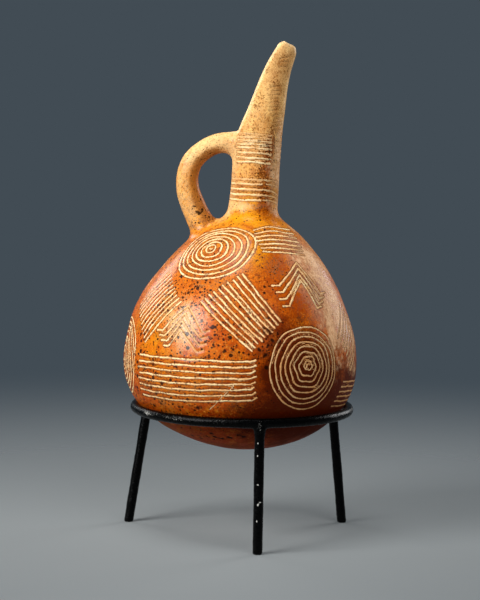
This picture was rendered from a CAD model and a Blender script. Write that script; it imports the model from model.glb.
"""Looks of the beak-spouted juglet: burnished red clay with lime-filled cuts, on a painted rod stand.

The vessel and the stand are made in millimetres, and each finished mesh is scaled to metres once;
the studio is in metres. Bearings are degrees about the vessel's axis, from the front (-Y) towards +X.
"""
import math
import random
from contextlib import contextmanager
from functools import partial

import bmesh
import bpy
import numpy as np
from mathutils import Matrix, Vector, kdtree, noise


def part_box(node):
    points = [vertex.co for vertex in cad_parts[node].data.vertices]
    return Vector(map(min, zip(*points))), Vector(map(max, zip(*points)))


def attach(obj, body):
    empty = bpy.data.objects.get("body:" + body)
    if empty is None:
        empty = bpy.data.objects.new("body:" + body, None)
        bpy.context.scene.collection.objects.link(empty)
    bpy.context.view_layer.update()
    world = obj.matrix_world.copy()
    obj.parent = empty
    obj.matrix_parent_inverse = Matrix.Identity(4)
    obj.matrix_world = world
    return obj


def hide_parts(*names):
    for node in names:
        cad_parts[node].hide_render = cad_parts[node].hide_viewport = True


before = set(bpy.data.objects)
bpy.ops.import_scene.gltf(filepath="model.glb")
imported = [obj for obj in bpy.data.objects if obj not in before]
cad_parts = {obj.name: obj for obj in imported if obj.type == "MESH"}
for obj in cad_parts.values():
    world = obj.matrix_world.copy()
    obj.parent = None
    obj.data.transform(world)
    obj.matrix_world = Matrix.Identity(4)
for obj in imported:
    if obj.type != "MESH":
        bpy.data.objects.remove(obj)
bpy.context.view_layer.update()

MM = 0.001
SEED = 11

# ---------------------------------------------------------------- sizes read from the frame
juglet_low, juglet_high = (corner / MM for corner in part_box("juglet"))
ring_low, ring_high = (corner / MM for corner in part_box("stand_ring"))
BASE_HEIGHT = juglet_low.z
BELLY_RADIUS = juglet_high.y
ROD_RADIUS = (ring_high.z - ring_low.z) / 2
RING_RADIUS = (ring_high.x - ring_low.x) / 2 - ROD_RADIUS
RING_CENTRE = Vector(((ring_low.x + ring_high.x) / 2, 0.0, (ring_low.z + ring_high.z) / 2))

# ---------------------------------------------------------------- the vessel's form
BASE_FULLNESS = 15.0
BELLY_HEIGHT = 91.0
BELLY_FULLNESS_BELOW = 37.6
BELLY_FULLNESS_ABOVE = 27.0
SHOULDER = (29.6, 155.2)
SHOULDER_SLOPE = math.radians(42.8)
SHOULDER_FULLNESS_BELOW = 18.4
SHOULDER_FULLNESS_ABOVE = 12.3
NECK_FOOT = (12.8, 172.2)
NECK_FOOT_FULLNESS = 7.5
TUBE_TOP = 262.0
# height, side-to-side radius, fore-and-aft radius of the neck tube
NECK_STATIONS = ((NECK_FOOT[1], 12.8, 12.8), (187, 12.3, 12.3), (203, 12.6, 12.6), (214, 12.2, 12.8),
                 (223, 11.3, 13.3), (233, 10.0, 14.0), (243, 8.8, 14.2), (TUBE_TOP, 6.8, 13.5))
# height and sideways place of the leaning centre line
LEAN_STATIONS = ((44, 3.8), (70, 1.0), (92, 0.0), (106, 0.1), (118, -0.3), (137, 1.1), (155, 3.0),
                 (167, 4.9), (178, 5.9), (197, 6.8), (206, 7.3), (214, 7.6), (223, 7.9), (233, 8.2),
                 (243, 9.9), (253, 13.0), (268, 18.2))
# height and thickness of the wall
WALL_STATIONS = ((SHOULDER[1], 4.0), (NECK_FOOT[1], 3.6), (210.8, 3.6), (TUBE_TOP, 3.0))
# height and sideways place of the edge that opens the beak, then (sideways, height) round the tip
LIP_STATIONS = ((210.8, -3.1), (225, 2.6), (244, 10.1), (256.2, 16.9))
TIP_OUTLINE = ((19.5, 258.1), (21.6, 256.9), (25.7, 255.2), (26.8, 252.5), (31.8, 244.5))
LIP_HOOK = 4.0                   # how far the opening's low end turns up and outwards
CUT_CLEARANCE = 30.0             # how far the cut-away shape runs past the clay
CUT_MARGIN = 12.0                # how far below the lip the cut still shapes the clay
# sideways place, height and radius along the handle's centre line
HANDLE_STATIONS = ((2.0, 204.2, 7.2), (-6.0, 204.9, 5.8), (-14.0, 204.2, 5.2), (-20.8, 200.7, 5.4),
                   (-26.6, 194.8, 5.6), (-29.1, 186.5, 5.7), (-28.7, 180.5, 5.9), (-26.5, 173.5, 6.2),
                   (-23.6, 167.0, 6.4), (-19.4, 159.0, 7.6), (-16.2, 152.0, 10.0))
HANDLE_HOLE = (-11.0, 184.0)
HANDLE_RIGHT = 10.0              # the handle shapes the clay left of here
HANDLE_SPAN = (140.0, 220.0)     # and between these heights
HANDLE_FILLET = 4.6
LIP_ROUNDING = 1.7
FAR = 50.0                       # distance given to points out of a shape's reach

# ---------------------------------------------------------------- mesh fineness
CLAY_GRAIN = 1.45                # voxel side; the quads on plain clay come out near 1.15
CAVITY_SHARE = 0.12              # share of the faces kept deep inside
CAVITY_DEPTH = 1.5               # inner faces at least this far in count as deep inside
CAVITY_TOP = NECK_FOOT[1] - 6    # and only below this height
REFINE_REACH = 0.95              # clay this close to a cut is divided once more
STROKE_STEP = 0.3


# ================================================================ curves and form
def smooth_through(stations, at):
    """Value of a smooth curve through (place, value...) stations, at the given places."""
    table = np.array(stations, float)
    place = table[:, 0]
    values = table[:, 1:]
    slope = np.gradient(values, place, axis=0)
    at = np.clip(np.atleast_1d(at), place[0], place[-1])
    left = np.clip(np.searchsorted(place, at, side="right") - 1, 0, len(place) - 2)
    span = (place[left + 1] - place[left])[:, None]
    t = (at[:, None] - place[left][:, None]) / span
    start = values[left] * (2 * t**3 - 3 * t**2 + 1) + slope[left] * span * (t**3 - 2 * t**2 + t)
    end = values[left + 1] * (3 * t**2 - 2 * t**3) + slope[left + 1] * span * (t**3 - t**2)
    return start + end


def smoothstep(low, high, values):
    t = np.clip((values - low) / (high - low), 0, 1)
    return t * t * (3 - 2 * t)


def run_along(line):
    """Distance along a polyline at each of its points."""
    return np.concatenate([[0.0], np.cumsum(np.linalg.norm(np.diff(line, axis=0), axis=1))])


def bezier(corners, steps):
    """Points of one Bezier arc with four (radius, height) corners, without its first point."""
    t = np.linspace(0, 1, steps + 1)[1:, None]
    start, handle_a, handle_b, end = np.array(corners, float)
    return (1 - t)**3 * start + 3 * (1 - t)**2 * t * handle_a + 3 * (1 - t) * t * t * handle_b + t**3 * end


def outer_outline(steps=60):
    """(radius, height) of the vessel's outside, from the pole of the base to the end of the beak."""
    base = (0.0, BASE_HEIGHT)
    belly = (BELLY_RADIUS, BELLY_HEIGHT)
    run = np.array((-math.cos(SHOULDER_SLOPE), math.sin(SHOULDER_SLOPE)))
    below = tuple(SHOULDER - run * SHOULDER_FULLNESS_BELOW)
    above = tuple(SHOULDER + run * SHOULDER_FULLNESS_ABOVE)
    heights = np.linspace(NECK_FOOT[1], TUBE_TOP, 2 * steps)[1:]
    tube = np.column_stack([smooth_through(NECK_STATIONS, heights)[:, 0], heights])
    under, over = BELLY_HEIGHT - BELLY_FULLNESS_BELOW, BELLY_HEIGHT + BELLY_FULLNESS_ABOVE
    arcs = ((base, (BASE_FULLNESS, BASE_HEIGHT), (BELLY_RADIUS, under), belly),
            (belly, (BELLY_RADIUS, over), below, SHOULDER),
            (SHOULDER, above, (NECK_FOOT[0], NECK_FOOT[1] - NECK_FOOT_FULLNESS), NECK_FOOT))
    return np.vstack([[base], *(bezier(arc, steps) for arc in arcs), tube])


OUTLINE = outer_outline()
OUTLINE_RUN = run_along(OUTLINE)


def outline_at(runs):
    """Radius and height of the outside at these runs along the outline."""
    return [np.interp(runs, OUTLINE_RUN, column) for column in OUTLINE.T]


def run_at(heights):
    return np.interp(heights, OUTLINE[:, 1], OUTLINE_RUN)


def lean_at(heights):
    return smooth_through(LEAN_STATIONS, heights)[:, 0]


def stretch_at(heights):
    """Fore-and-aft radius over side-to-side radius: 1 in the body, more in the beak."""
    side, fore = smooth_through(NECK_STATIONS, heights).T
    return np.where(heights > NECK_FOOT[1], fore / side, 1.0)


def on_surface(bearings, runs):
    """Points of the outside at these bearings and these runs along the outline."""
    radii, heights = outline_at(runs)
    turn = np.radians(bearings)
    x = radii * np.sin(turn) * stretch_at(heights) + lean_at(heights)
    return np.column_stack([x, -radii * np.cos(turn), heights])


def distance_to_line(points, line):
    """Distance of 2-D points to a polyline, with the place of the nearest point along it."""
    nearest = np.full(len(points), 1e9)
    place = np.zeros(len(points))
    for i, (a, b) in enumerate(zip(line, line[1:])):
        edge = b - a
        t = np.clip((points - a) @ edge / (edge @ edge), 0, 1)
        gap = np.linalg.norm(points - a - t[:, None] * edge, axis=1)
        closer = gap < nearest
        nearest[closer] = gap[closer]
        place[closer] = i + t[closer]
    return nearest, place


def inside_polygon(points, polygon):
    """True for 2-D points inside a closed polygon, by counting the sides to their right."""
    x, y = points.T
    inside = np.zeros(len(points), bool)
    for (ax, ay), (bx, by) in zip(polygon, np.roll(polygon, -1, axis=0)):
        crosses = (ay > y) != (by > y)
        at = ax + (y - ay) * (bx - ax) / (by - ay + 1e-12)
        inside ^= crosses & (x < at)
    return inside


class OutlineTable:
    """Signed distance to the outline, worked out once on a fine (radius, height) grid."""
    STEP = 0.5
    MARGIN = 12.0

    def __init__(self):
        self.origin = np.array((0.0, BASE_HEIGHT - self.MARGIN))
        size = np.array((BELLY_RADIUS, TUBE_TOP)) + self.MARGIN - self.origin
        shape = np.ceil(size / self.STEP).astype(int) + 2
        sides = [start + np.arange(count) * self.STEP for start, count in zip(self.origin, shape)]
        places = np.stack(np.meshgrid(*sides, indexing="ij"), axis=-1).reshape(-1, 2)
        closed = np.vstack([OUTLINE[::2], OUTLINE[-1:], [(0.0, TUBE_TOP)]])
        gap, _ = distance_to_line(places, closed)
        self.table = np.where(inside_polygon(places, closed), -gap, gap).reshape(shape)

    def __call__(self, radii, heights):
        places = (np.column_stack([radii, heights]) - self.origin) / self.STEP
        places = np.clip(places, 0, np.array(self.table.shape) - 1.001)
        cell = places.astype(int)
        i, j = cell.T
        a, b = (places - cell).T
        t = self.table
        return ((t[i, j] * (1 - a) + t[i + 1, j] * a) * (1 - b)
                + (t[i, j + 1] * (1 - a) + t[i + 1, j + 1] * a) * b)


outline_distance = OutlineTable()


def shell(points, step=0.4):
    """Signed distance to the vessel's outside, neck and beak tube included."""
    x, y, heights = points.T
    stretch = stretch_at(heights)
    level = (x - lean_at(heights)) / stretch
    radii = np.hypot(level, y)
    outward = (outline_distance(radii + step, heights)
               - outline_distance(np.maximum(radii - step, 0), heights)) / (step + np.minimum(radii, step))
    share = np.clip(level / np.maximum(radii, 0.5), -1, 1)**2
    return outline_distance(radii, heights) / np.sqrt(1 - outward**2 * share * (1 - 1 / stretch**2))


def handle_line(steps=70):
    """(sideways, height, radius) along the handle."""
    table = np.array(HANDLE_STATIONS)
    run = run_along(table[:, :2])
    return smooth_through(np.column_stack([run, table]), np.linspace(0.0, run[-1], steps))


HANDLE_LINE = handle_line()


def handle_at(places):
    """Sideways place, height and radius at these places along the handle's line."""
    return [np.interp(places, np.arange(len(HANDLE_LINE)), column) for column in HANDLE_LINE.T]


def handle(points):
    """Signed distance to the handle's round strap."""
    x, y, heights = points.T
    far = np.full(len(points), FAR)
    near = (x < HANDLE_RIGHT) & (heights > HANDLE_SPAN[0]) & (heights < HANDLE_SPAN[1])
    gap, place = distance_to_line(points[near][:, (0, 2)], HANDLE_LINE[:, :2])
    far[near] = np.hypot(gap, y[near]) - handle_at(place)[2]
    return far


def cut_outline(steps=24):
    """Side view of what is cut away to open the beak."""
    heights = np.linspace(LIP_STATIONS[0][0], LIP_STATIONS[-1][0], steps)
    edge = np.column_stack([smooth_through(LIP_STATIONS, heights)[:, 0], heights])
    (x, low), right = edge[0], TIP_OUTLINE[-1][0]
    left, above = x - CUT_CLEARANCE, TUBE_TOP + CUT_CLEARANCE
    return np.vstack([[(left, low + LIP_HOOK), (x - LIP_HOOK, low)], edge, TIP_OUTLINE,
                      [(right, above), (left, above)]])


CUT = cut_outline()


def beak_cut(points):
    """Signed distance to the cut that opens the beak, negative where clay is taken away."""
    far = np.full(len(points), FAR)
    near = points[:, 2] > LIP_STATIONS[0][0] - CUT_MARGIN
    side = points[near][:, (0, 2)]
    gap, _ = distance_to_line(side, np.vstack([CUT, CUT[:1]]))
    far[near] = np.where(inside_polygon(side, CUT), -gap, gap)
    return far


def rounded_min(a, b, size):
    blend = np.maximum(size - np.abs(a - b), 0) / size
    return np.minimum(a, b) - blend**2 * size / 4


def clay(points):
    """Signed distance to the fired clay, negative inside it."""
    outside = shell(points)
    hollow = outside + np.interp(points[:, 2], *np.array(WALL_STATIONS).T)
    solid = rounded_min(outside, handle(points), HANDLE_FILLET)
    solid = -rounded_min(-solid, hollow, LIP_ROUNDING)
    return -rounded_min(-solid, beak_cut(points), LIP_ROUNDING)


def slope(points, step=0.15):
    """Gradient of the clay's distance."""
    moves = step * np.eye(3)
    return np.column_stack([clay(points + move) - clay(points - move) for move in moves]) / (2 * step)


def settle(points, steps=2, longest=0.7):
    """Move points on to the clay's surface."""
    for _ in range(steps):
        uphill = slope(points)
        share = clay(points) / np.maximum((uphill**2).sum(axis=1), 0.3)
        points = points - uphill * np.clip(share, -longest, longest)[:, None]
    return points


# ================================================================ mesh helpers
def points_of(mesh):
    found = np.empty(len(mesh.vertices) * 3)
    mesh.vertices.foreach_get("co", found)
    return found.reshape(-1, 3)


def set_points(mesh, points):
    mesh.vertices.foreach_set("co", points.astype(np.float32).ravel())
    mesh.update()


def set_attribute(mesh, name, values):
    layer = mesh.attributes.new(name, "FLOAT", "POINT")
    layer.data.foreach_set("value", values.astype(np.float32))


@contextmanager
def edited(mesh):
    """A mesh opened as a bmesh, and written back at the end."""
    form = bmesh.new()
    form.from_mesh(mesh)
    yield form
    form.to_mesh(mesh)
    form.free()


def new_object(name, mesh):
    item = bpy.data.objects.new(name, mesh)
    bpy.context.scene.collection.objects.link(item)
    return item


def bake(item):
    """Replace an object's mesh by its evaluated one and drop its modifiers."""
    bpy.context.view_layer.update()
    evaluated = item.evaluated_get(bpy.context.evaluated_depsgraph_get())
    shaped = bpy.data.meshes.new_from_object(evaluated)
    item.modifiers.clear()
    item.data = shaped


def remesh(item, grain):
    change = item.modifiers.new("remesh", "REMESH")
    change.mode = "VOXEL"
    change.voxel_size = grain
    bake(item)


def smooth(mesh, rounds):
    with edited(mesh) as form:
        for _ in range(rounds):
            bmesh.ops.smooth_vert(form, verts=form.verts, factor=0.5, use_axis_x=True, use_axis_y=True,
                                  use_axis_z=True)


def finish_mesh(mesh, points):
    """Move a mesh to its last points, in metres, and shade its triangles smooth."""
    set_points(mesh, points * MM)
    with edited(mesh) as form:
        bmesh.ops.triangulate(form, faces=form.faces)
    mesh.shade_smooth()


def lumps_at(points, lumps):
    """Height of lumps, each kind given by its size, height and how far its pattern is moved aside."""
    total = np.zeros(len(points))
    for size, height, moved in lumps:
        aside = Vector((moved, 0, 0))
        total += height * np.array([noise.noise(Vector(point) / size + aside) for point in points])
    return total


def soft_patches(bearings, heights, radii, patches):
    """Sum of soft-edged patches, their half widths measured along circles of these radii."""
    total = np.zeros(len(heights))
    for bearing, height, half_width, half_height, strength in patches:
        away = np.radians((bearings - bearing + 180) % 360 - 180) * radii
        total += strength * np.exp(-(away / half_width)**2 - ((heights - height) / half_height)**2)
    return total


# ================================================================ incised lines
LINE_WIDTH = 1.0
NECK_BAND = (186.6, 184.2, 181.4, 178.7, 175.9)    # heights of the lines low on the neck
rng = random.Random(SEED)
cuts = []                        # points, half widths, sideways directions and lime fill of each cut


def patch(bearing, height):
    """A flat drawing sheet laid on the clay: turns (across, up) places about a point into 3-D."""
    middle = run_at(height)

    def place(flat):
        runs = middle + flat[:, 1]
        return on_surface(bearing + np.degrees(flat[:, 0] / outline_at(runs)[0]), runs)
    return place


def wander(count, size, longest=17.0):
    """A slow, unsteady drift along a line, as a hand makes."""
    along = np.arange(count) * STROKE_STEP
    drift = np.zeros(count)
    for wave in (longest, longest * 0.5, longest * 0.22):
        length = wave * rng.uniform(0.8, 1.25)
        drift += size * wave / longest * np.sin(along / length * math.tau + rng.uniform(0, math.tau))
    return drift


def add_cut(place, flat, width=LINE_WIDTH, unsteady=0.09, fill=(1.0, 1.0)):
    """Cut one line through flat points, with a drifting path and an uneven width.

    The fill says how much lime is left at its start and end, from 0 for none to 1 for packed proud.
    """
    flat = np.array(flat, float)
    run = run_along(flat)
    count = max(3, int(run[-1] / STROKE_STEP) + 1)
    at = np.linspace(0.0, run[-1], count)
    even = np.column_stack([np.interp(at, run, side) for side in flat.T])
    along = np.gradient(even, axis=0)
    along /= np.linalg.norm(along, axis=1)[:, None] + 1e-9
    aside = np.column_stack([-along[:, 1], along[:, 0]])
    even += aside * wander(count, unsteady)[:, None]
    half = width / 2 * (1 + wander(count, 0.1, 14.0) + wander(count, 0.05, 5.0)) * rng.uniform(0.86, 1.04)
    points = place(even)
    aside = place(even + 0.1 * aside) - points
    aside /= np.linalg.norm(aside, axis=1)[:, None]
    cuts.append((points, half, aside, np.linspace(*fill, count)))


def bowed(start, end, bow):
    """A nearly straight path that bows a little."""
    start, end = np.array(start, float), np.array(end, float)
    t = np.linspace(0, 1, 12)[:, None]
    side = np.array((start[1] - end[1], end[0] - start[0])) / np.linalg.norm(end - start)
    return start + (end - start) * t + side * rng.uniform(-bow, bow) * 4 * t * (1 - t)


def stroke(place, start, end, bow=0.35, **how):
    add_cut(place, bowed(start, end, bow), **how)


def hatch(place, first, last, count, slip=0.5, **how):
    """Side-by-side strokes, from the first (start, end) to the last."""
    first, last = np.array(first, float), np.array(last, float)
    for i in range(count):
        ends = first + (last - first) * i / (count - 1)
        along = (ends[1] - ends[0]) / np.linalg.norm(ends[1] - ends[0])
        ends = ends + np.outer((rng.uniform(-slip, slip), rng.uniform(-slip, slip)), along)
        stroke(place, *ends, **how)


def rings(place, count, inner, outer, first_centre=(0, 0), last_centre=(0, 0), taper=0.0, facets=0.0,
          seam=90, square=0.0, unsteady=0.07, **how):
    """Rings one inside another, cut by hand: (across, up) radii grow evenly from inner to outer.

    The inner ones may have six corners and the outer ones four. Each starts near the seam, and its
    ends miss each other by a little.
    """
    for i in range(count):
        t = i / (count - 1)
        across, up = np.array(inner) + (np.array(outer) - inner) * t
        centre = np.array(first_centre) + (np.array(last_centre) - first_centre) * t**0.8
        start = seam + rng.uniform(-14, 14)
        turn = np.radians(np.linspace(start, start + 362, 120))
        reach = 1 + rng.uniform(-0.012, 0.012) * np.linspace(-1, 1, len(turn))
        reach += facets * (1 - t)**2 * np.cos(6 * turn + 0.6) + square * t * np.cos(4 * turn + math.pi)
        for lobe in (2, 3, 5):
            reach += rng.uniform(0, 0.3 / (across + 4)) * np.cos(lobe * turn + rng.uniform(0, math.tau))
        v = np.sin(turn) * reach
        u = np.cos(turn) * reach * (1 - taper * v)
        add_cut(place, centre + np.column_stack([u * across, v * up]), unsteady=unsteady, **how)


def chevrons(place, tops, left_feet, right_feet, hook=3.2, right_rise=0.5, **how):
    """Angles one under another: each falls from its top to both sides and ends in two short ticks."""
    for top, left, right in zip(tops, left_feet, right_feet):
        left_end = (left[0] - hook * rng.uniform(0.85, 1.1), left[1])
        right_end = (right[0] + hook * rng.uniform(0.85, 1.1), right[1] + right_rise)
        add_cut(place, np.vstack([bowed(left_end, left, 0.15), bowed(left, top, 0.5),
                                  bowed(top, right, 0.5), bowed(right, right_end, 0.15)]), **how)


def between(first, last, count):
    return np.linspace(first, last, count)


def band(lines, **how):
    """Level lines round the vessel, each given by a few (bearing, height) stations."""
    for stations in lines:
        stations = np.array(stations, float)
        bearings = np.linspace(stations[0, 0], stations[-1, 0], 60)
        runs = run_at(smooth_through(stations, bearings)[:, 0])
        middle = stations[len(stations) // 2]
        across = np.radians(bearings - middle[0]) * outline_at(runs)[0]
        add_cut(patch(*middle), np.column_stack([across, runs - run_at(middle[1])]), **how)


def draw_front():
    # left shoulder: seven rings about a dot, flattened where the hand turned the pot
    rings(patch(-34, 152), 7, (2.65, 2.5), (20.8, 17.2), (0.25, -0.6), (2.8, -2.25), taper=0.12,
          seam=100, square=0.012)
    stroke(patch(-34, 152), (0.0, -0.6), (0.5, -0.6))
    # right belly: eight rings about a hook, the inner ones with corners
    rings(patch(34, 95.5), 8, (2.5, 2.2), (20.5, 21.2), (0, -0.35), (-0.6, -1.95), facets=0.08, seam=88,
          unsteady=0.13, width=0.83, fill=(0.9, 0.82))
    add_cut(patch(34, 95.5), ((-0.9, -0.9), (-0.7, 0.1), (0.7, 0.5)))
    # left edge
    rings(patch(-82, 94), 8, (2.6, 2.6), (20.5, 20.0), seam=60)
    # hatched squares
    hatch(patch(-40, 115), ((3.5, 11), (-14.5, -11.2)), ((-16, 27.3), (-30.5, 7)), 10)
    hatch(patch(0, 122), ((-0.7, 21), (20.8, -5)), ((-20.8, 4.7), (5, -19.3)), 10, width=1.03)
    hatch(patch(72, 105), ((-3, -15), (17, 2)), ((-15, 3), (2, 20)), 8)
    # chevrons, those on the left worn down on their right
    chevrons(patch(-40, 115), between((9.3, 9.8), (8.6, -3), 4), between((-2.5, -4.4), (3.2, -11.8), 4),
             between((21, -3.5), (19.5, -13.6), 4), right_rise=0.8, fill=(1.0, 0.35))
    chevrons(patch(35, 140), between((4.5, 6.3), (3.5, -4.2), 4), between((-9.5, -6.5), (-6.5, -18.0), 4),
             between((16, -12.5), (11, -20), 4), hook=3.6, width=1.1)
    # seven lines under the neck
    band([((6 + 1.5 * i, 161 - 1.7 * i), (22, 162.3 - 1.95 * i), (64 - 1.6 * i, 160.6 - 2.0 * i))
          for i in range(7)], width=1.14)
    # eight lines on the left belly, scratched across near their right end
    left_band = patch(-25, 87.5)
    for i in range(8):
        add_cut(left_band, ((-34.3 + rng.uniform(-1, 1), 9.8 - 3.02 * i), (0, 10.4 - 3.1 * i),
                            (32, 10.2 - 2.78 * i), (34 + rng.uniform(-1, 1), 11.0 - 2.75 * i)),
                width=0.97, unsteady=0.12)
    add_cut(left_band, ((9.5, -15), (23.5, -2)), width=0.35)
    # six lines low on the right, part of their lime gone
    band([((61.5 - 1.2 * i, 84.5 - 2.5 * i), (80, 82.6 - 2.5 * i), (122 - i, 83 - 2.6 * i))
          for i in range(6)], width=0.93, unsteady=0.14, fill=(0.65, 0.62))


def draw_neck():
    # the lower band: round from the back to the front, then across the front's right
    for z, fill in zip(NECK_BAND, (0.6, 0.9, 1.0, 1.0, 1.0)):
        band([((-178, z), (-110, z), (-75, z), (15, z - 0.25))], width=1.2, fill=(fill, fill))
    for left, start, right in ((24, 186.0, 184.6), (30, 184.0, 182.3), (22, 181.2, 177.9),
                               (20, 178.4, 175.7), (24, 175.7, 174.0)):
        band([((left, start), (50, (start + right) / 2 + 0.3), (74, right))], fill=(0.85, 0.7))
    # the upper band, finer and emptier towards its top, with a rough upright strip at its right end
    for z, fill, width in zip((195.3, 197.5, 200.1, 202.6, 204.5, 206.3, 208.1, 209.9),
                              (1.0, 1.0, 0.95, 0.9, 0.85, 0.8, 0.7, 0.6), (1.15,) * 4 + (0.85,) * 4):
        band([((-51 + rng.uniform(-4, 4), z + 0.2), (0, z), (34 + rng.uniform(-2, 2), z - 0.8))],
             width=width, fill=(fill, fill))
    for b, z in zip((50, 53, 49, 55, 52), (206, 203.4, 200.6, 198, 195.2)):
        band([((b, z), (b + 7, z - 0.2), (b + 15, z - 0.3))], width=0.7, fill=(0.3, 0.3))
    # short rungs up the right of the beak, worn faint
    for left, right, z, rise in ((38, 70, 211.2, 1.0), (40, 70, 213.4, 1.1), (37, 68, 215.5, 0.8),
                                 (39, 68, 217.5, 1.0), (37, 66, 219.3, 0.9)):
        band([((left, z), (right, z + rise))], width=0.9, fill=(0.2, 0.3))
    for z in between(221.8, 234.0, 7):
        band([((26 + rng.uniform(-4, 2), z), (46 + rng.uniform(-3, 3), z + 0.2))], width=0.95,
             fill=(0.3, 0.1))
    for left, right, z, rise in ((29, 50, 248.6, 1.1), (31, 53, 246.6, 0.5), (32, 52, 244.4, 0.0)):
        band([((left, z), (right, z + rise))], width=0.95, fill=(0.25, 0.25))
    # the far side of the neck, behind the handle
    band([((100, z), (140, z), (178, z)) for z in NECK_BAND], fill=(0.8, 0.8))
    band([((75, z), (120, z), (178, z)) for z in between(208.5, 196, 5)], width=0.9, fill=(0.7, 0.7))


def draw_back():
    """The hidden side, in keeping and plainer."""
    rings(patch(112, 150), 6, (2.7, 2.5), (17.5, 15.5), taper=0.1, seam=80)
    rings(patch(150, 95), 8, (2.6, 2.6), (20.5, 20.0), seam=95)
    rings(patch(-135, 150), 5, (2.7, 2.5), (14.5, 13.0), taper=0.1, seam=80)
    hatch(patch(163, 126), ((-14, 8), (4, -14)), ((2, 20), (19, -2)), 8)
    hatch(patch(-122, 122), ((15, 6), (-2, -15)), ((0, 19), (-18, -3)), 9)
    for bearing, height in ((118, 124), (-158, 122)):
        chevrons(patch(bearing, height), between((0, 10), (0, -1), 4), between((-12, -3), (-8, -12), 4),
                 between((12, -3), (8, -12), 4))
    band([((181 + rng.uniform(-2, 2), 98 - 3.05 * i), (210, 98.6 - 3.05 * i),
           (246 + rng.uniform(-2, 2), 98.2 - 3.05 * i)) for i in range(8)])


draw_front()
draw_neck()
draw_back()


def cut_tree():
    """A search tree of all cut points, with each point's half width, sideways direction and fill."""
    points, *facts = (np.concatenate(parts) for parts in zip(*cuts))
    tree = kdtree.KDTree(len(points))
    for i, point in enumerate(points):
        tree.insert(point, i)
    tree.balance()
    return tree, points, facts


def place_by_cuts(points, search, reach=3.0):
    """Each point's distance from the nearest cut's middle, its distance to that cut's left, and the fill.

    The second is scaled so that every cut's edges are at plus and minus half of LINE_WIDTH, and it
    passes evenly through zero, which keeps the edges crisp between the points of the mesh.
    """
    tree, middles, (halves, asides, fills) = search
    gaps = np.empty(len(points))
    nearest = np.empty(len(points), int)
    for i, point in enumerate(points):
        _, nearest[i], gaps[i] = tree.find(point)
    sides = ((points - middles[nearest]) * asides[nearest]).sum(axis=1) / halves[nearest] * LINE_WIDTH / 2
    return np.minimum(gaps, reach), np.clip(sides, -reach, reach), fills[nearest]


def refine(mesh, near):
    """Divide every face that has a vertex near a cut."""
    with edited(mesh) as form:
        form.verts.ensure_lookup_table()
        faces = {face for i in np.flatnonzero(near) for face in form.verts[i].link_faces}
        edges = list({edge for face in faces for edge in face.edges})
        bmesh.ops.subdivide_edges(form, edges=edges, cuts=1, use_grid_fill=True)
        bmesh.ops.triangulate(form, faces=[face for face in form.faces if len(face.verts) > 4])


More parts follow.
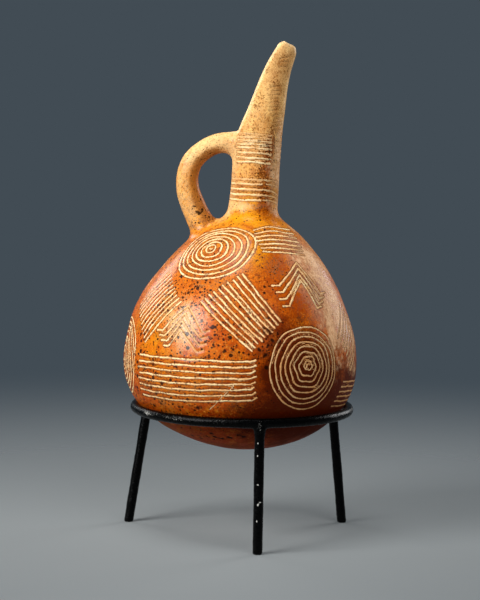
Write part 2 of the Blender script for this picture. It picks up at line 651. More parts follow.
# ================================================================ stains and patches
# bearing, height, half width, half height and strength of soft patches, by what they show
PATCHES = {
    # yellower slip
    "ochre": ((18, 189, 5, 4, 0.5), (11, 150, 5, 6, 0.9), (6, 166, 26, 4, 0.8), (-50, 102, 12, 8, 0.25),
              (-62, 112, 8, 10, 0.1), (-42, 106, 44, 46, 0.34)),
    # redder, hotter firing
    "burnt": ((20, 140, 11, 16, 0.7), (24, 116, 10, 12, 0.6), (21, 190, 5, 5, 0.6), (28, 179, 4, 7, 0.9),
              (30, 197, 3, 9, 0.5), (22, 172, 6, 3.5, 0.9), (-45, 181, 5, 6, 0.45), (-8, 192, 3, 4, 0.35),
              (34, 206, 3, 7, 0.5), (24, 202, 4, 7, 0.55), (-30, 136, 16, 5, 0.5), (-60, 78, 20, 8, 0.5),
              (8, 110, 12, 9, 0.5), (9, 90, 8, 16, 0.95), (34, 214, 3, 6, 0.25), (36, 127, 6, 8, 0.7),
              (42, 166, 9, 4, 0.75), (-150, 140, 20, 14, 0.5)),
    # smoked dark brown
    "scorched": ((18, 190, 5, 4.5, 0.48), (30, 203, 3.5, 8, 0.65), (23, 180, 3.5, 7, 0.65),
                 (15, 170.5, 6, 3, 0.4), (35, 212, 2.5, 4, 0.2)),
    # a thin, pinkish mineral film
    "film": ((46, 136, 10, 17, 0.9), (52, 150, 9, 9, 0.9), (50, 119, 8, 10, 0.5)),
    # pale lime bloom
    "bloom": ((-20, 172.5, 9, 2.2, 0.9), (52, 200, 4, 20, 0.55), (-34, 150, 16, 16, 0.15),
              (-31, 116, 12, 12, 0.8), (-70, 200, 9, 12, 0.4), (-80, 196, 8, 14, 0.4), (-8, 219, 6, 8, 0.4),
              (-86, 172, 10, 13, 0.6), (-90, 207, 9, 6, 0.4), (90, 236, 3.5, 22, 0.9)),
    # browned by hands and smoke
    "toasted": ((30, 249, 7, 6, 0.4), (44, 236, 5, 14, 0.5), (36, 217, 4, 10, 0.45),
                (2, 216, 8, 5, 0.35)),
    # starved of air in the fire, nearly black
    "dark": ((38, 76, 38, 26, 0.95), (92, 78, 16, 12, 0.5), (78, 70, 34, 14, 0.8), (85, 92, 26, 16, 0.35),
             (28, 100, 22, 14, 0.55), (30, 66, 60, 8, 0.6), (24, 116, 12, 12, 0.35), (18, 98, 6, 18, 0.4),
             (150, 80, 50, 24, 0.7), (-140, 70, 50, 16, 0.5)),
    # pale crust from the burial ground
    "crust": ((61, 126, 15, 27, 1.15), (76, 106, 11, 17, 0.8), (64, 144, 12, 10, 0.8),
              (53, 108, 6, 13, 0.6), (68, 194, 7, 24, 1.05), (-84, 136, 7, 26, 0.35),
              (175, 120, 22, 26, 0.5)),
    # grit fallen out
    "pitted": ((-6, 228, 4, 6, 0.6), (10, 224, 8, 8, 0.3), (-6, 213, 3, 3.5, 0.95), (8, 204, 10, 6, 0.35),
               (12, 188, 9, 4, 0.4), (-30, 205, 10, 10, 0.3)),
    # many small black spots
    "spotting": ((-45, 112, 50, 60, 0.6), (-12, 113, 15, 15, 0.6), (12, 107, 9, 12, 0.6),
                 (-34, 132, 16, 7, 0.5), (20, 200, 6, 9, 0.7), (-55, 82, 26, 16, 0.5),
                 (-74, 88, 5, 14, 0.5), (16, 140, 10, 14, 0.15), (140, 110, 30, 30, 0.5),
                 (-150, 120, 26, 22, 0.6))}
# what of these the inner side of the handle takes, where hands and smoke darkened it
HANDLE_SHARES = {"toasted": 1.0, "scorched": 0.15, "spotting": 0.15, "pitted": 0.15}


def inner_handle(points):
    """1 on the side of the handle that faces its hole, 0 on its outer side and on the body."""
    weights = np.zeros(len(points))
    rows = np.flatnonzero(handle(points) < shell(points) - 0.4)
    flat = points[rows][:, (0, 2)]
    _, place = distance_to_line(flat, HANDLE_LINE[:, :2])
    x, height, radius = handle_at(place)
    middle = np.column_stack([x, height])
    inward = np.array(HANDLE_HOLE) - middle
    inward /= np.linalg.norm(inward, axis=1)[:, None]
    facing = ((flat - middle) * inward).sum(axis=1) / radius
    share = place / (len(HANDLE_LINE) - 1)
    weights[rows] = smoothstep(-0.25, 0.55, facing) * smoothstep(0.05, 0.3, share)
    return weights


def lip_wear(points):
    """1 on the rounded lip of the opened beak, fading to 0 just beside it."""
    return 1 - smoothstep(0.3, 1.3, beak_cut(points))


def blotches(points, patches):
    """Strength of soft patches at each point, up to 1."""
    x, y, heights = points.T
    level = (x - lean_at(heights)) / stretch_at(heights)
    total = soft_patches(np.degrees(np.arctan2(level, -y)), heights, np.hypot(level, y), patches)
    return np.minimum(total, 1.0)


# bearing, height, half width, half height of a cluster of stains, their number and sizes
STAIN_CLUSTERS = ((-15, 110, 10, 9, 16, 0.4, 0.75), (-9, 114, 6, 4, 6, 0.4, 0.7),
                  (11, 101, 4, 6, 8, 0.4, 0.75), (15, 111, 3, 2.5, 9, 0.6, 1.2),
                  (-38, 132, 13, 4, 12, 0.4, 0.75), (-28, 124, 8, 7, 8, 0.4, 0.7),
                  (-60, 98, 8, 12, 12, 0.4, 0.8), (-47, 112, 9, 10, 14, 0.35, 0.7),
                  (-65, 84, 9, 8, 12, 0.4, 0.75), (16, 122, 5, 6, 8, 0.4, 0.7),
                  (0, 116, 9, 9, 16, 0.4, 0.7), (-30, 88, 28, 10, 34, 0.35, 0.65),
                  (18, 136, 7, 8, 12, 0.35, 0.6), (-30, 73, 30, 4, 26, 0.5, 0.95),
                  (-25, 56, 16, 3, 20, 0.8, 1.5), (-150, 120, 18, 16, 18, 0.4, 1.1),
                  (140, 110, 20, 18, 18, 0.4, 1.1))
# bearing and height of the largest single stains
LARGE_STAINS = ((-33, 130), (-45, 132), (-26, 133), (-33, 123), (-20, 117), (-12, 114), (-6, 116),
                (-11, 109), (-13, 105), (-8, 106), (-8, 102.5), (-24, 100), (-15, 100), (9, 104),
                (12, 101), (12.5, 95), (16, 108), (-58, 104), (-66, 92), (-52, 82), (-73, 88), (-71, 81),
                (-70, 74))
# share of the handle's length, degrees round it from its front towards its outside, and radius
HANDLE_STAINS = ((0.49, -16, 0.7), (0.51, -14, 0.5), (0.61, -32, 0.6), (0.71, -20, 0.6), (0.73, -52, 0.7),
                 (0.69, 40, 0.6), (0.71, 24, 0.45), (0.72, 0, 0.7), (0.765, -2, 0.9), (0.775, -10, 1.1),
                 (0.79, -16, 1.0), (0.79, -36, 1.2), (0.79, 44, 0.8), (0.83, 8, 0.7), (0.84, -24, 0.6),
                 (0.44, 4, 0.4), (0.66, -30, 0.5), (0.57, -40, 0.5))


def on_handle(share, turn):
    """A point on the handle's surface."""
    x, height, radius = handle_at(share * (len(HANDLE_LINE) - 1))
    turn = math.radians(turn)
    outward = np.array((x, height)) - HANDLE_HOLE
    outward *= radius * math.sin(turn) / np.linalg.norm(outward)
    return np.array((x + outward[0], -radius * math.cos(turn), height + outward[1]))


def stain_distance(points, reach=3.0):
    """How far each point is outside the nearest large stain, negative inside it."""
    stains = [(on_handle(share, turn), radius) for share, turn, radius in HANDLE_STAINS]
    for bearing, height, half_width, half_height, count, small, large in STAIN_CLUSTERS:
        place = patch(bearing, height)
        for _ in range(count):
            flat = np.array([(rng.gauss(0, half_width / 1.5), rng.gauss(0, half_height / 1.5))])
            stains.append((place(flat)[0], rng.uniform(small, large)))
    stains += [(patch(*spot)(np.zeros((1, 2)))[0], rng.uniform(0.8, 1.2)) for spot in LARGE_STAINS]
    found = np.full(len(points), reach)
    for centre, radius in stains:
        found = np.minimum(found, np.linalg.norm(points - centre, axis=1) - radius)
    return found


# ================================================================ the clay vessel
CUT_DEPTH = 0.16
CUT_REACH = 0.95                 # the clay sinks from here to the middle of a cut
CUT_END = 0.85                   # how far a cut goes on past its last point
# the slight lumps of a pot that was built and burnished by hand
CLAY_LUMPS = ((31.0, 0.42, 0.0), (9.0, 0.13, 40.0))


def unit_slope(points):
    found = slope(points)
    return found / np.linalg.norm(found, axis=1)[:, None]


def thin_out_cavity(item):
    """Merge most of the small faces deep inside the vessel, where nothing shows."""
    points = points_of(item.data)
    deep = (shell(points) < -CAVITY_DEPTH) & (points[:, 2] < CAVITY_TOP)
    group = item.vertex_groups.new(name="deep")
    group.add(np.flatnonzero(deep).tolist(), 1.0, "REPLACE")
    change = item.modifiers.new("thin_out", "DECIMATE")
    change.vertex_group = group.name
    change.vertex_group_factor = 1000.0
    change.ratio = 1 - deep.mean() * (1 - CAVITY_SHARE)
    bake(item)
    item.vertex_groups.clear()


def make_juglet():
    """The CAD solid's copy, remeshed evenly, settled on the smooth form and cut with its pattern."""
    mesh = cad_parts["juglet"].data.copy()
    mesh.materials.clear()
    with edited(mesh) as form:
        bmesh.ops.remove_doubles(form, verts=form.verts, dist=0.01 * MM)
        bmesh.ops.scale(form, verts=form.verts, vec=(1 / MM,) * 3)
    item = new_object("clay_juglet", mesh)
    remesh(item, CLAY_GRAIN)
    for _ in range(2):
        set_points(item.data, settle(points_of(item.data)))
        smooth(item.data, 2)
    set_points(item.data, settle(points_of(item.data)))
    thin_out_cavity(item)
    mesh = item.data
    search = cut_tree()
    refine(mesh, place_by_cuts(points_of(mesh), search)[0] < REFINE_REACH)
    points = settle(points_of(mesh))
    normals = unit_slope(points)
    gaps, sides, fills = place_by_cuts(points, search)
    attributes = {"cut_gap": gaps, "cut_side": sides, "cut_fill": fills, "lip": lip_wear(points),
                  "stain_edge": np.clip(stain_distance(points), -1.5, 2.0)}
    darkened = inner_handle(points)
    for name, patches in PATCHES.items():
        weights = blotches(points, patches) + HANDLE_SHARES.get(name, 0.0) * darkened
        attributes[name] = np.minimum(weights, 1.0)
    for name, values in attributes.items():
        set_attribute(mesh, name, values)
    depth = CUT_DEPTH * (1 - smoothstep(0, CUT_REACH, gaps))
    finish_mesh(mesh, points + normals * (lumps_at(points, CLAY_LUMPS) - depth)[:, None])
    return item


# ================================================================ the stand
# bearing of a leg's top, bearing and radius of its foot, about the ring's centre
LEGS = ((9.2, 9.0, 57.0), (-116.3, -108.5, 63.4), (120.3, 116.3, 61.6))
LEG_BELOW_FLOOR = 5.0            # cut off again, so that the feet end flat on the floor
WELD_RADIUS = 3.2
WELD_HEIGHT = 5.0
SMOOTHING_LOSS = 0.15            # what smoothing takes off the rods, given back along the normals
STAND_GRAIN = 0.62
RING_STEPS = 144
ROD_SIDES = 20
ROD_LUMPS = ((11.0, 0.16, 0.0), (3.2, 0.07, 20.0))
LUMPS_START = 2.0                # the lumps fade out below this height, so that the feet stand flat


def on_ring(bearing, radius, height):
    turn = math.radians(bearing)
    return Vector((RING_CENTRE.x + radius * math.sin(turn), -radius * math.cos(turn), height))


def add_ring(form):
    start = RING_CENTRE + Vector((RING_RADIUS, 0, 0))
    rim = bmesh.ops.create_circle(form, segments=ROD_SIDES, radius=ROD_RADIUS,
                                  matrix=Matrix.Translation(start) @ Matrix.Rotation(math.pi / 2, 4, "X"))
    edges = {edge for vert in rim["verts"] for edge in vert.link_edges}
    bmesh.ops.spin(form, geom=rim["verts"] + list(edges), cent=RING_CENTRE, axis=(0, 0, 1),
                   dvec=(0, 0, 0), angle=math.tau, steps=RING_STEPS, use_merge=True, use_duplicate=False)


def add_leg(form, top_bearing, foot_bearing, foot_radius):
    """A bar from below the floor up to the ring, swelling into its weld."""
    top = on_ring(top_bearing, RING_RADIUS, RING_CENTRE.z)
    foot = on_ring(foot_bearing, foot_radius, 0.0)
    up = (top - foot).normalized()
    length = (top - foot).length
    swell = length - ROD_RADIUS - WELD_HEIGHT
    stops = ((-LEG_BELOW_FLOOR, ROD_RADIUS), (swell, ROD_RADIUS),
             (swell + 0.5 * WELD_HEIGHT, ROD_RADIUS * 1.12), (length - ROD_RADIUS, WELD_RADIUS),
             (length, ROD_RADIUS * 0.8))
    turn = up.to_track_quat("Z", "Y").to_matrix().to_4x4()
    rim = bmesh.ops.create_circle(form, segments=ROD_SIDES, radius=stops[0][1], cap_ends=True,
                                  matrix=Matrix.Translation(foot + up * stops[0][0]) @ turn)
    face = rim["verts"][0].link_faces[0]
    for (_, last_radius), (place, radius) in zip(stops, stops[1:]):
        face = bmesh.ops.extrude_discrete_faces(form, faces=[face])["faces"][0]
        centre = face.calc_center_median()
        for vert in face.verts:
            vert.co = foot + up * place + (vert.co - centre) * (radius / last_radius)


def cut_at_floor(form):
    cut = bmesh.ops.bisect_plane(form, geom=form.verts[:] + form.edges[:] + form.faces[:], dist=1e-4,
                                 plane_co=(0, 0, 0), plane_no=(0, 0, 1), clear_inner=True)
    rim = [part for part in cut["geom_cut"] if isinstance(part, bmesh.types.BMEdge)]
    bmesh.ops.holes_fill(form, edges=rim, sides=0)


# bearing about the ring, height, half width in degrees, half height and strength of rubbed paint
RUBBED_PATCHES = ((-34, 67, 17, 5, 0.63), (-58, 67, 12, 5, 0.55), (-8, 67, 12, 5, 0.54),
                  (9, 67, 5, 4, 0.5), (66, 68, 24, 4, 0.45), (170, 68, 40, 4, 0.5), (9, 61, 3, 4, 0.54),
                  (7.8, 56.5, 0.7, 0.8, 0.9), (7.8, 50.2, 0.7, 1.2, 0.95), (8.2, 35.7, 0.8, 1.0, 0.95),
                  (8.4, 25.5, 0.9, 1.1, 0.95), (9.8, 26.8, 1.1, 0.6, 0.9), (7.9, 17.2, 0.7, 1.3, 0.95),
                  (-112, 20, 6, 14, 0.45))
RUBBED_SIDE = (0.95, 0.31)       # the outward and upward parts of the side that gets rubbed


def rubbed_at(points, normals):
    """Where the paint is rubbed through: on the outer, upper side of some stretches."""
    bearings = np.degrees(np.arctan2(points[:, 0] - RING_CENTRE.x, -points[:, 1]))
    turn = np.radians(bearings)
    outward = normals[:, 0] * np.sin(turn) - normals[:, 1] * np.cos(turn)
    facing = RUBBED_SIDE[0] * outward + RUBBED_SIDE[1] * normals[:, 2]
    # on a circle of this radius, a width in degrees is as long as its number
    radius = np.degrees(1.0)
    return soft_patches(bearings, points[:, 2], radius, RUBBED_PATCHES) * smoothstep(0.45, 0.95, facing)


def make_stand():
    """The ring and its three legs as one welded and painted piece."""
    item = new_object("rod_stand", bpy.data.meshes.new("rod_stand"))
    with edited(item.data) as form:
        for leg in LEGS:
            add_leg(form, *leg)
        cut_at_floor(form)
        add_ring(form)
        bmesh.ops.recalc_face_normals(form, faces=form.faces)
    remesh(item, STAND_GRAIN)
    smooth(item.data, 4)
    mesh = item.data
    points = points_of(mesh)
    normals = np.empty(len(points) * 3)
    mesh.vertex_normals.foreach_get("vector", normals)
    normals = normals.reshape(-1, 3)
    heights = points[:, 2]
    lumps = lumps_at(points, ROD_LUMPS) * np.clip(heights / LUMPS_START, 0, 1)
    points = points + normals * (lumps + SMOOTHING_LOSS * np.clip(heights, 0, 1))[:, None]
    points[:, 2] = np.maximum(points[:, 2], 0.0)
    set_attribute(mesh, "rubbed", rubbed_at(points, normals))
    finish_mesh(mesh, points)
    return item


# ================================================================ materials
def linear(code):
    """An sRGB hex colour as linear red, green, blue and alpha."""
    parts = [int(code[i:i + 2], 16) / 255 for i in (1, 3, 5)]
    return (*(p / 12.92 if p <= 0.04045 else ((p + 0.055) / 1.055)**2.4 for p in parts), 1.0)


def per_mm(size):
    """Texture scale, on coordinates in metres, that makes one feature this many millimetres wide."""
    return 1 / (size * MM)


def add_node(tree, kind, inputs=(), output=0, **settings):
    """Add a shader node and give one of its outputs.

    The inputs are in the order of its sockets, or keyed by a socket's name or number. Each is a
    value or another node's output.
    """
    made = tree.nodes.new("ShaderNode" + kind)
    for name, value in settings.items():
        setattr(made, name, value)
    for key, value in inputs.items() if isinstance(inputs, dict) else enumerate(inputs):
        if isinstance(value, bpy.types.NodeSocket):
            tree.links.new(value, made.inputs[key])
        else:
            made.inputs[key].default_value = value
    return made.outputs[output] if made.outputs else None


def new_material(name):
    """A new material and a function that adds a node to it."""
    made = bpy.data.materials.new(name)
    made.use_nodes = True
    made.node_tree.nodes.clear()
    return made, partial(add_node, made.node_tree)


MIXING = {"data_type": "RGBA", "output": 2}         # settings of a Mix of colours
SOFT = {"interpolation_type": "SMOOTHSTEP"}         # settings of a Map Range with soft ends
PLAIN = {"interpolation_type": "LINEAR"}
USUAL = (0.3, 0.7)                                  # values that a noise pattern mostly keeps between

# height in mm and colour of the slip
CLAY_COLOURS = ((45, "#94340A"), (62, "#983402"), (78, "#C25204"), (92, "#CE5E06"), (112, "#D06006"),
                (132, "#D06408"), (150, "#D87818"), (162, "#E68C1C"), (169, "#F0981A"), (177, "#F0A448"),
                (188, "#F2B060"), (198, "#F8BC70"), (214, "#FFC878"), (258, "#FFCA84"))
# what changes up the vessel: from and to which height in mm, the values there, and how
HEIGHT_SHARES = {"clouds on the body": (168, 184, 1.0, 0.5, PLAIN),
                 "clouds all over": (164, 184, 1.0, 1.4, PLAIN),
                 "clouds on the neck": (162, 172, 0.0, 1.0, PLAIN),
                 "clouds below the beak": (206, 226, 1.0, 0.45, PLAIN),
                 "clouds above the base": (54, 72, 0.45, 1.0, PLAIN),
                 "black spots": (204, 220, 0.92, 0.25, PLAIN),
                 "furrows": (166, 174, 1.0, 0.55, PLAIN),
                 "gloss": (66, 84, 0.04, 0.54, SOFT),
                 "matt": (156, 172, 0.0, 1.0, SOFT)}
# where, size in mm, detail, where the pattern starts and is full, its strength and its colour
CLAY_CLOUDS = (("clouds on the body", 13.0, 5.0, 0.50, 0.66, 0.70, "#B03A02"),
               ("clouds on the body", 6.5, 5.0, 0.52, 0.70, 0.60, "#E88A14"),
               ("clouds on the body", 4.0, 5.0, 0.49, 0.66, 0.75, "#942C00"),
               ("clouds on the body", 1.9, 4.0, 0.50, 0.68, 0.70, "#6E2000"),
               ("clouds all over", 1.1, 3.0, 0.54, 0.70, 0.55, "#F4A440"),
               ("clouds all over", 0.9, 3.0, 0.55, 0.70, 0.60, "#7A3406"),
               ("clouds on the neck", 2.8, 4.0, 0.47, 0.62, 0.55, "#C4782E"),
               ("clouds on the neck", 1.3, 4.0, 0.50, 0.66, 0.60, "#8A4A10"))
# attribute, strength, colour and graininess of the soft patches, the darkest last
CLAY_TINTS = (("ochre", 0.8, "#F09C08", 0.1), ("burnt", 0.8, "#A84000", 0.25),
              ("bloom", 0.6, "#FFD696", 0.3), ("film", 0.7, "#C88260", 0.2),
              ("toasted", 0.85, "#A45E14", 0.2), ("scorched", 0.9, "#582800", 0.6),
              ("dark", 0.96, "#4A1200", 0.1))
# spacing in mm, share of places with a spot, the extra share where spots gather, growth and most
SPOT_LAYERS = ((4.2, 0.04, 0.85, 0.70, 0.26), (2.4, 0.18, 0.80, 0.70, 0.30),
               (1.35, 0.28, 0.60, 0.75, 0.34))
CRUST_COLOURS = ("#B0703C", "#FFCC98")
PIT_DIRT, PALE_LIP, MANGANESE = "#98581A", "#FFE0AC", "#120601"
FURROW_DIRT, BARE_CUT = "#5A1E06", "#A05C1C"
LIME_COLOURS = ("#FFE4AE", "#FFC686")
THIN_LIME, SOILED_LIME, STAINED_LIME = "#FFC67E", "#D88E54", "#F4A450"


def burnished_clay():
    """Red polished ware: iron-rich clay, slipped and rubbed to a gloss before firing, lime in its cuts.

    The slip gives a soft, broad highlight over mottled orange to red-brown; lime is dull cream.
    """
    made, node = new_material("burnished_red_polished_clay")
    coords = node("TexCoord", output="Object")
    height = node("SeparateXYZ", (coords,), output="Z")
    names = ("cut_gap", "cut_side", "cut_fill", "stain_edge", "lip", *PATCHES)
    read = {name: node("Attribute", output="Fac", attribute_name=name) for name in names}
    by_height = {name: node("MapRange", (height, low * MM, high * MM, *values), **how)
                 for name, (low, high, *values, how) in HEIGHT_SHARES.items()}
    # slow drift down to grit; the finest is drawn coarser than fired clay's grain, so that it shows
    grain_22, grain_5, grain_2, grain_1 = (
        node("TexNoise", {"Vector": coords, "Scale": per_mm(size), "Detail": 3.0})
        for size in (22.0, 5.0, 2.0, 0.8))

    # the slip, redder low on the body and buff on the neck
    lowest, highest = CLAY_COLOURS[0][0], CLAY_COLOURS[-1][0]
    drift = node("MapRange", (grain_22, *USUAL, -6 * MM, 6 * MM))
    level = node("Math", (height, drift), operation="ADD")
    level = node("MapRange", (level, lowest * MM, highest * MM))
    colour = node("ValToRGB", (level,))
    stops = colour.node.color_ramp.elements
    while len(stops) < len(CLAY_COLOURS):
        stops.new(0.5)
    for stop, (place, code) in zip(stops, CLAY_COLOURS):
        stop.position = (place - lowest) / (highest - lowest)
        stop.color = linear(code)
    # firing clouds and worn slip, weaker on the beak and the base
    ends = node("Math", (by_height["clouds below the beak"], by_height["clouds above the base"]),
                operation="MULTIPLY")
    for where, size, detail, start, full, strength, code in CLAY_CLOUDS:
        cloud = node("TexNoise", {"Vector": coords, "Scale": per_mm(size), "Detail": detail,
                                  "Roughness": 0.65})
        share = node("MapRange", (cloud, start, full, 0.0, strength), **SOFT)
        place = node("Math", (by_height[where], ends), operation="MULTIPLY")
        share = node("Math", (share, place), operation="MULTIPLY")
        colour = node("Mix", {0: share, 6: colour, 7: linear(code)}, **MIXING)
    # soft patches with uneven edges, ending with the reduced, darker side
    shift = 0.0
    for pattern, reach in ((grain_22, 0.18), (grain_5, 0.16)):
        swing = node("MapRange", (pattern, *USUAL, -reach, reach))
        shift = node("Math", (swing, shift), operation="ADD")
    for name, strength, code, grain in CLAY_TINTS:
        share = node("Math", (read[name], shift), operation="ADD")
        speckled = node("MapRange", (grain_1, *USUAL, -grain, grain))
        share = node("Math", (share, speckled), operation="ADD")
        shade = node("MapRange", (share, 0.12, 0.9, 0.0, strength), **SOFT)
        colour = node("Mix", {0: shade, 6: colour, 7: linear(code)}, **MIXING)
    # pale crust, most of it on the right side, broken up and worn through in places
    stretched = node("Mapping", {"Vector": coords, "Scale": (1.0, 1.0, 0.6)})
    crust = node("TexNoise", {"Vector": stretched, "Scale": per_mm(1.5), "Detail": 5.0, "Roughness": 0.7})
    broken = node("TexNoise", {"Vector": coords, "Scale": per_mm(8.0), "Detail": 5.0, "Roughness": 0.65})
    share = read["crust"]
    for pattern, reach in ((crust, 0.2), (broken, 0.5)):
        swing = node("MapRange", (pattern, *USUAL, -reach, reach))
        share = node("Math", (share, swing), operation="ADD")
    dusty = node("MapRange", (share, 0.2, 1.1, 0.0, 0.82), **SOFT)
    share = node("MapRange", (read["crust"], 0.03, 0.25))
    dusty = node("Math", (dusty, share), operation="MULTIPLY")
    share = node("Math", (crust, broken), operation="ADD")
    share = node("MapRange", (share, 0.8, 1.15))
    crusted = node("Mix", {0: share, 6: linear(CRUST_COLOURS[0]), 7: linear(CRUST_COLOURS[1])}, **MIXING)
    colour = node("Mix", {0: dusty, 6: colour, 7: crusted}, **MIXING)

    # pits left by grit that fell out, and the dirt in them
    grit = node("TexNoise", {"Vector": coords, "Scale": per_mm(1.3), "Detail": 4.0, "Roughness": 0.7})
    pits = node("Math", (read["pitted"], 0.14, grit), operation="MULTIPLY_ADD")
    pits = node("MapRange", (pits, 0.63, 0.70), **SOFT)
    dirty = node("Math", (pits, 0.55), operation="MULTIPLY")
    # the lip of the beak, handled until it is pale
    worn = node("MapRange", (grain_2, 0.35, 0.6, 0.85, 0.45))
    worn = node("Math", (worn, read["lip"]), operation="MULTIPLY")
    # black manganese spots: small ones everywhere, more of them in some places
    warp = node("TexNoise", {"Vector": coords, "Scale": per_mm(1.8)}, output="Color")
    warp = node("VectorMath", (warp, (0.7 * MM,) * 3), operation="MULTIPLY")
    warp = node("VectorMath", (coords, warp), operation="ADD")
    black = 0.0
    for spacing, share, gathered, growth, largest in SPOT_LAYERS:
        cell = {"Vector": warp, "Scale": per_mm(spacing)}
        luck = node("TexVoronoi", cell, output="Color")
        luck = node("SeparateColor", (luck,))
        middle = node("TexVoronoi", cell, output="Distance")
        size = node("Math", (read["spotting"], gathered, share - 1.0), operation="MULTIPLY_ADD")
        for operation, value in (("ADD", luck), ("MULTIPLY", growth), ("MINIMUM", largest),
                                 ("SUBTRACT", middle)):
            size = node("Math", (size, value), operation=operation)
        spot = node("MapRange", (size, -0.02, 0.04), **SOFT)
        black = node("Math", (spot, black), operation="MAXIMUM")
    ragged = node("MapRange", (grain_1, *USUAL, -0.3, 0.3))
    stain = node("Math", (read["stain_edge"], ragged), operation="ADD")
    stain = node("MapRange", (stain, 0.15, -0.4), **SOFT)
    black = node("Math", (black, stain), operation="MAXIMUM")
    spotted = node("Math", (black, by_height["black spots"]), operation="MULTIPLY")

    # the cuts: their edges, crumbled a little, and the dirty furrow that runs beside the lime
    edge = node("Math", (read["cut_side"],), operation="ABSOLUTE")
    edge = node("Math", (edge, LINE_WIDTH / 2), operation="SUBTRACT")
    end = node("Math", (read["cut_gap"], CUT_END), operation="SUBTRACT")
    edge = node("Math", (edge, end), operation="MAXIMUM")
    ragged = node("MapRange", (grain_1, *USUAL, -0.15, 0.15))
    edge = node("Math", (edge, ragged), operation="ADD")
    cut = node("MapRange", (edge, 0.08, -0.10), **SOFT)
    furrow = node("MapRange", (edge, 0.6, 0.05, 0.0, 0.78), **SOFT)
    filled = node("MapRange", (read["cut_fill"], 0.3, 0.8, 0.2, 1.0))
    for share in (filled, by_height["furrows"]):
        furrow = node("Math", (furrow, share), operation="MULTIPLY")
    # where a cut has lost its lime, bare clay with some dirt shows
    hollow = node("MapRange", (read["cut_fill"], 0.0, 0.6, 0.55, 0.0))
    hollow = node("Math", (hollow, cut), operation="MULTIPLY")
    for share, code in ((dirty, PIT_DIRT), (worn, PALE_LIP), (spotted, MANGANESE), (furrow, FURROW_DIRT),
                        (hollow, BARE_CUT)):
        colour = node("Mix", {0: share, 6: colour, 7: linear(code)}, **MIXING)

    # lime packed in the cuts: crumbled away in places, thin or hidden under crust and spots in others
    crumbled = node("MapRange", (grain_2, 0.58, 0.70, 1.0, 0.5), **SOFT)
    crusted_over = node("MapRange", (dusty, 0.2, 0.8, 1.0, 0.6))
    blackened = node("MapRange", (black, 0.0, 1.0, 1.0, 0.45))
    lime = read["cut_fill"]
    for share in (crumbled, crusted_over, cut, blackened):
        lime = node("Math", (lime, share), operation="MULTIPLY")
    share = node("MapRange", (grain_5, 0.4, 0.65))
    pale = node("Mix", {0: share, 6: linear(LIME_COLOURS[0]), 7: linear(LIME_COLOURS[1])}, **MIXING)
    thin = node("MapRange", (read["cut_fill"], 0.4, 0.9, 0.8, 0.0))
    soiled = node("Math", (shade, 0.8), operation="MULTIPLY")
    soiled = node("Math", (soiled, dusty), operation="MAXIMUM")
    soiled = node("Math", (soiled, 0.55), operation="MULTIPLY")
    stained = node("MapRange", (edge, -0.34, -0.04, 0.0, 0.7), **SOFT)
    for share, code in ((thin, THIN_LIME), (soiled, SOILED_LIME), (stained, STAINED_LIME)):
        pale = node("Mix", {0: share, 6: pale, 7: linear(code)}, **MIXING)
    colour = node("Mix", {0: lime, 6: colour, 7: pale}, **MIXING)

    # the rubbed gloss: a thin bright skin, gone from the lime, under the crust and low on the body
    rough = node("MapRange", (grain_5, *USUAL, 0.52, 0.68))
    gloss = by_height["gloss"]
    for share, kept in ((by_height["matt"], 0.3), (lime, 0.0), (dusty, 0.0), (shade, 0.3),
                        (read["burnt"], 0.35)):
        share = node("MapRange", (share, 0.0, 1.0, 1.0, kept))
        gloss = node("Math", (gloss, share), operation="MULTIPLY")
    # the surface's height in mm: lime stands up between two fine furrows; then grain, crust and spots
    slant = node("MapRange", (edge, 0.1, -0.45))
    proud = node("MapRange", (read["cut_fill"], 0.0, 1.0, -0.26 * MM, 0.21 * MM))
    relief = node("Math", (slant, proud), operation="MULTIPLY")
    for share, depth in ((furrow, -0.10), (grain_2, 0.12), (grain_1, 0.06), (black, -0.10), (pits, -0.15)):
        relief = node("Math", (share, depth * MM, relief), operation="MULTIPLY_ADD")
    for share, pattern, depth in ((lime, grain_1, 0.22), (dusty, crust, 0.25)):
        share = node("Math", (share, pattern), operation="MULTIPLY")
        relief = node("Math", (share, depth * MM, relief), operation="MULTIPLY_ADD")
    # the marks of the rubbing stone, which show only in the gloss
    rubbing = node("Math", (grain_5, 0.10 * MM), operation="MULTIPLY")
    rubbing = node("Math", (grain_2, 0.02 * MM, rubbing), operation="MULTIPLY_ADD")
    bump, smoothed = (node("Bump", {"Height": surface, "Distance": 1.0, "Strength": 1.0})
                      for surface in (relief, rubbing))
    shader = node("BsdfPrincipled", {
        "Base Color": colour, "Roughness": rough, "Normal": bump, "IOR": 1.5, "Metallic": 0.0,
        "Specular IOR Level": 0.02, "Coat Weight": gloss, "Coat Roughness": 0.26, "Coat IOR": 1.5,
        "Coat Normal": smoothed})
    node("OutputMaterial", (shader,))
    return made


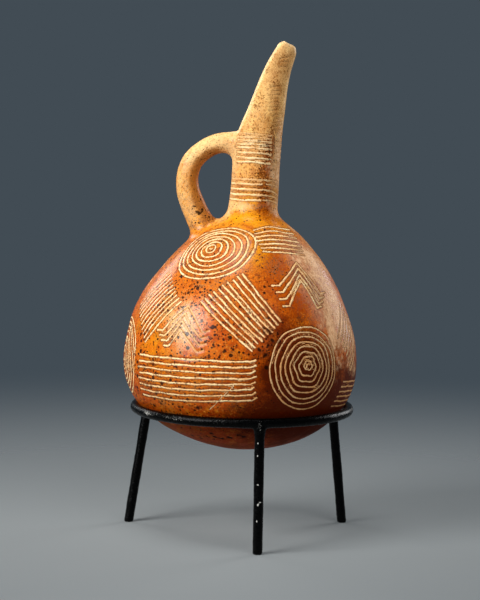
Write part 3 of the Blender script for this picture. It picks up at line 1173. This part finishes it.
def black_paint():
    """Satin black paint brushed on mild steel rod: near black with a broken gloss, rubbed and chipped."""
    made, node = new_material("brushed_black_paint_on_steel")
    coords = node("TexCoord", output="Object")
    rubbed = node("Attribute", output="Fac", attribute_name="rubbed")
    # wear in patches, brush marks and dust, the last two drawn coarser than real ones to show
    worn, brushed, specks = (
        node("TexNoise", {"Vector": coords, "Scale": per_mm(size), "Detail": 4.0, "Roughness": 0.7})
        for size in (5.0, 1.4, 0.6))
    wear = node("Math", (specks, 0.5, rubbed), operation="MULTIPLY_ADD")
    wear = node("Math", (worn, 0.2, wear), operation="MULTIPLY_ADD")
    chips = node("MapRange", (wear, 1.0, 1.06, 0.0, 0.9))
    shade = node("MapRange", (brushed, 0.35, 0.7))
    colour = node("Mix", {0: shade, 6: linear("#010101"), 7: linear("#040404")}, **MIXING)
    colour = node("Mix", {0: chips, 6: colour, 7: linear("#C4C2BA")}, **MIXING)
    rough = node("MapRange", (brushed, *USUAL, 0.16, 0.38))
    relief = node("Math", (specks, 0.05 * MM), operation="MULTIPLY")
    relief = node("Math", (brushed, 0.22 * MM, relief), operation="MULTIPLY_ADD")
    bump = node("Bump", {"Height": relief, "Distance": 1.0, "Strength": 1.0})
    shader = node("BsdfPrincipled", {"Base Color": colour, "Roughness": rough, "Normal": bump,
                                     "IOR": 1.5, "Metallic": 0.0, "Specular IOR Level": 0.08})
    node("OutputMaterial", (shader,))
    return made


def pale_floor():
    """Matt pale grey studio paper, which fades out with distance."""
    made, node = new_material("matt_grey_paper")
    coords = node("TexCoord", output="Object")
    grain = node("TexNoise", {"Vector": coords, "Scale": per_mm(0.8)})
    colour = node("Mix", {0: grain, 6: linear("#848888"), 7: linear("#8B8F8F")}, **MIXING)
    away = node("VectorMath", (coords,), output="Value", operation="LENGTH")
    fade = node("MapRange", (away, FLOOR_CLEAR, FLOOR_GONE), **SOFT)
    paper = node("BsdfPrincipled", {"Base Color": colour, "Roughness": 0.9})
    clear = node("BsdfTransparent")
    surface = node("MixShader", (fade, paper, clear))
    node("OutputMaterial", (surface,))
    return made


# ================================================================ studio
FLOOR_RADIUS = 1.6
FLOOR_CLEAR = -0.10              # the paper is a little faded already beneath the vessel
FLOOR_GONE = 0.68
TARGET = Vector((-0.54, 0.0, 122.8)) * MM
CAMERA_DISTANCE = 1077 * MM
CAMERA_HEIGHT = math.radians(5.44)
CAMERA_ROLL = math.radians(0.98)
CAMERA_LENS = 123.33
# name, place, size and watts of each soft box; all face the vessel
SOFT_BOXES = (("key", (-0.77, -0.56, 0.60), 0.6, 13.2), ("overhead", (-0.15, -0.20, 1.25), 0.5, 4.6),
              ("fill", (0.55, -1.0, 0.75), 0.9, 6.7), ("back_edge", (0.78, 0.70, 0.40), 0.5, 4.8),
              ("left_edge", (-0.72, 0.75, 0.55), 0.4, 2.4))
UNREFLECTED = "fill"             # this soft box lights the shadows and is not seen in the gloss
ROOM_COLOUR = "#424C54"


def make_camera():
    lens = bpy.data.cameras.new("camera")
    lens.lens = CAMERA_LENS
    lens.clip_start = 0.05
    camera = new_object("camera", lens)
    back = Vector((0, -math.cos(CAMERA_HEIGHT), math.sin(CAMERA_HEIGHT)))
    turn = (-back).to_track_quat("-Z", "Y").to_matrix().to_4x4() @ Matrix.Rotation(CAMERA_ROLL, 4, "Z")
    camera.matrix_world = Matrix.Translation(TARGET + back * CAMERA_DISTANCE) @ turn
    bpy.context.scene.camera = camera


def make_lights():
    for name, place, size, watts in SOFT_BOXES:
        lamp = bpy.data.lights.new(name, "AREA")
        lamp.shape = "DISK"
        lamp.size = size
        lamp.energy = watts
        item = new_object(name, lamp)
        item.location = place
        item.rotation_mode = "QUATERNION"
        item.rotation_quaternion = (TARGET - item.location).to_track_quat("-Z", "Y")
        item.visible_glossy = name != UNREFLECTED
    room = bpy.data.worlds.new("room")
    room.use_nodes = True
    room.node_tree.nodes["Background"].inputs["Color"].default_value = linear(ROOM_COLOUR)
    bpy.context.scene.world = room


def make_floor():
    floor = new_object("floor", bpy.data.meshes.new("floor"))
    with edited(floor.data) as form:
        bmesh.ops.create_circle(form, segments=96, radius=FLOOR_RADIUS, cap_ends=True)
    floor.data.materials.append(pale_floor())


make_camera()
make_lights()
make_floor()
bpy.context.scene.view_settings.view_transform = "Standard"

juglet = make_juglet()
juglet.data.materials.append(burnished_clay())
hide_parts("juglet")
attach(juglet, "root")

stand = make_stand()
stand.data.materials.append(black_paint())
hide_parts("stand_ring", "stand_leg_front", "stand_leg_left", "stand_leg_right")
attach(stand, "root")
